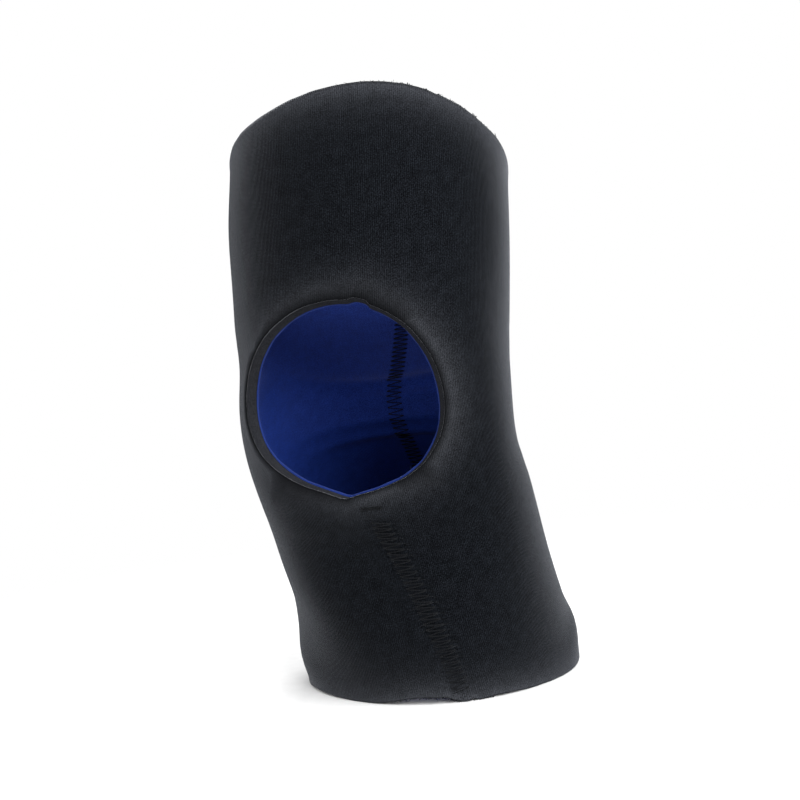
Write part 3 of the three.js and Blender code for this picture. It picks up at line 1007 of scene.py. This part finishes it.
def floorMaterial():
    # matt white paper that fades into the backdrop away from the sleeve, so no horizon shows
    material, tree, shader = startMaterial("whitePaper")
    place = addNode(tree, "ShaderNodeTexCoord").outputs["Object"]
    fibre = addNode(tree, "ShaderNodeTexNoise", inputs={"Scale": 180.0, "Detail": 2.0},
                    links={"Vector": place})
    shade = ramp(tree, fibre.outputs["Fac"], [(0.3, "#f6f6f6"), (0.7, "#fafafa")])
    tree.links.new(shade, shader.inputs["Base Color"])
    shader.inputs["Roughness"].default_value = 0.95
    shader.inputs["Specular IOR Level"].default_value = 0.1
    distance = addNode(tree, "ShaderNodeVectorMath", {"operation": "LENGTH"},
                       links={0: place}).outputs["Value"]
    fade = addNode(tree, "ShaderNodeMapRange", {"interpolation_type": "SMOOTHSTEP"},
                   {"From Min": 0.16, "From Max": 0.55, "To Min": 0.0, "To Max": 1.0},
                   {"Value": distance}).outputs["Result"]
    clear = addNode(tree, "ShaderNodeBsdfTransparent").outputs["BSDF"]
    mixed = addNode(tree, "ShaderNodeMixShader", links={0: fade, 1: shader.outputs["BSDF"], 2: clear})
    tree.links.new(mixed.outputs["Shader"], tree.nodes["Material Output"].inputs["Surface"])
    return material


cameraPlace = {
    "eye": (137.3, -425.7, 128.9),
    "aim": (11.2, -35.2, 134.1),
    "roll": -6.05,
    "lens": 41.48,
    "sensor": 36.0,
}


def placeCamera():
    # aimed from eye to aim, then rolled about the line of sight
    c = cameraPlace
    data = bpy.data.cameras.new("camera")
    data.sensor_width = c["sensor"]
    data.lens = c["lens"]
    data.clip_start = 0.01
    data.clip_end = 50.0
    camera = bpy.data.objects.new("camera", data)
    bpy.context.scene.collection.objects.link(camera)
    eye, aim = Vector(c["eye"]) * mm, Vector(c["aim"]) * mm
    look = (aim - eye).normalized()
    camera.rotation_mode = "QUATERNION"
    camera.location = eye
    camera.rotation_quaternion = Quaternion(look, -c["roll"] * degree) @ look.to_track_quat("-Z", "Y")
    bpy.context.scene.camera = camera


backdropLight = 0.72
studioLights = [
    {"name": "keyLight", "place": (-0.9, -1.2, 1.5), "size": 1.4, "watts": 11},
    {"name": "fillLight", "place": (1.3, -0.9, 0.9), "size": 1.6, "watts": 52},
    {"name": "backLight", "place": (0.2, 1.5, 1.3), "size": 1.8, "watts": 22},
]


def placeLights():
    target = Vector((0, -0.02, 0.12))
    for lamp in studioLights:
        data = bpy.data.lights.new(lamp["name"], "AREA")
        data.shape = "DISK"
        data.size = lamp["size"]
        data.energy = lamp["watts"]
        light = bpy.data.objects.new(lamp["name"], data)
        bpy.context.scene.collection.objects.link(light)
        light.location = lamp["place"]
        light.rotation_mode = "QUATERNION"
        light.rotation_quaternion = (target - light.location).to_track_quat("-Z", "Y")
        light.visible_camera = False
    # the backdrop is white to the eye and dimmer as a light
    world = bpy.data.worlds.new("studio")
    bpy.context.scene.world = world
    world.use_nodes = True
    tree = world.node_tree
    background = tree.nodes["Background"]
    background.inputs["Color"].default_value = linearColour("#ffffff")
    ray = addNode(tree, "ShaderNodeLightPath")
    strength = addNode(tree, "ShaderNodeMapRange", inputs={"To Min": backdropLight, "To Max": 1.0},
                       links={"Value": ray.outputs["Is Camera Ray"]})
    tree.links.new(strength.outputs["Result"], background.inputs["Strength"])
    bpy.context.scene.view_settings.view_transform = "Standard"


def placeFloor():
    # a round paper floor, as rings about the middle
    radius = np.array([0.3, 0.8, 2.0, 8.0])
    sides = 48
    around = turn * np.arange(sides) / sides
    x, y = radius[:, None] * np.cos(around), radius[:, None] * np.sin(around)
    points = np.stack([x, y, np.zeros_like(x)], -1).reshape(-1, 3)
    index = np.arange(x.size).reshape(x.shape)
    nextRound = np.roll(index, -1, axis=1)
    quads = np.stack([index[:-1], index[1:], nextRound[1:], nextRound[:-1]], -1).reshape(-1, 4).tolist()
    middle = [index[0].tolist()]
    mesh = bpy.data.meshes.new("paperFloor")
    mesh.from_pydata(points.tolist(), [], quads + middle)
    mesh.update()
    floor = bpy.data.objects.new("paperFloor", mesh)
    bpy.context.scene.collection.objects.link(floor)
    floor.data.materials.append(floorMaterial())


placeCamera()
placeLights()
placeFloor()
print("studio ready")

nodeNames = sorted(frame["nodes"])
faceNodes = [n for n in nodeNames if n.startswith("face_jersey")]
coreNodes = [n for n in nodeNames if n.startswith("neoprene_core")]
liningNodes = [n for n in nodeNames if n.startswith("lining_jersey")]

blackJersey = jerseyMaterial("blackNylonJersey", blackJerseyLook)
blueJersey = jerseyMaterial("royalBlueLiningJersey", blueLiningLook)
sponge = spongeMaterial()
thread = threadMaterial()
filament = filamentMaterial()


def finishPiece(piece, material, nodes):
    piece.data.materials.append(material)
    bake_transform(piece)
    if nodes:
        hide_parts(*nodes)


def flatArea(piece):
    return sum(p.area for p in piece.data.polygons) / 2


face = layerPiece("faceJersey", faceJersey)
finishPiece(face, blackJersey, faceNodes)
core = layerPiece("neopreneCore", neopreneCore)
finishPiece(core, sponge, coreNodes)
lining = layerPiece("liningJersey", liningJersey)
finishPiece(lining, blueJersey, liningNodes)
print("layers made, face area", round(flatArea(face), 4), "lining area", round(flatArea(lining), 4))

rimMargin = 2.0
dartFoot = stationAt(lowerStation, seamForm["dartFootAngle"] * degree) + rimMargin
backFoot = stationAt(lowerStation, np.pi) + rimMargin
backHead = stationAt(upperStation, np.pi) - rimMargin
for sideName, side in (("face", 1), ("lining", -1)):
    dart = zigzagPiece(f"dartThread_{sideName}", dartFoot, seamForm["dartTopStation"], dartAngle, side)
    finishPiece(dart, thread, [f"dart_thread_{sideName}"])
    back = zigzagPiece(f"backSeamThread_{sideName}", backFoot, backHead, backSeamAngle, side)
    backNodes = [n for n in nodeNames if n.startswith(f"back_seam_thread_{sideName}")]
    finishPiece(back, thread, backNodes)
finishPiece(barTackPiece(), thread, ["bar_tack"])
finishPiece(frayPiece(), filament, [])
print("threads sewn")
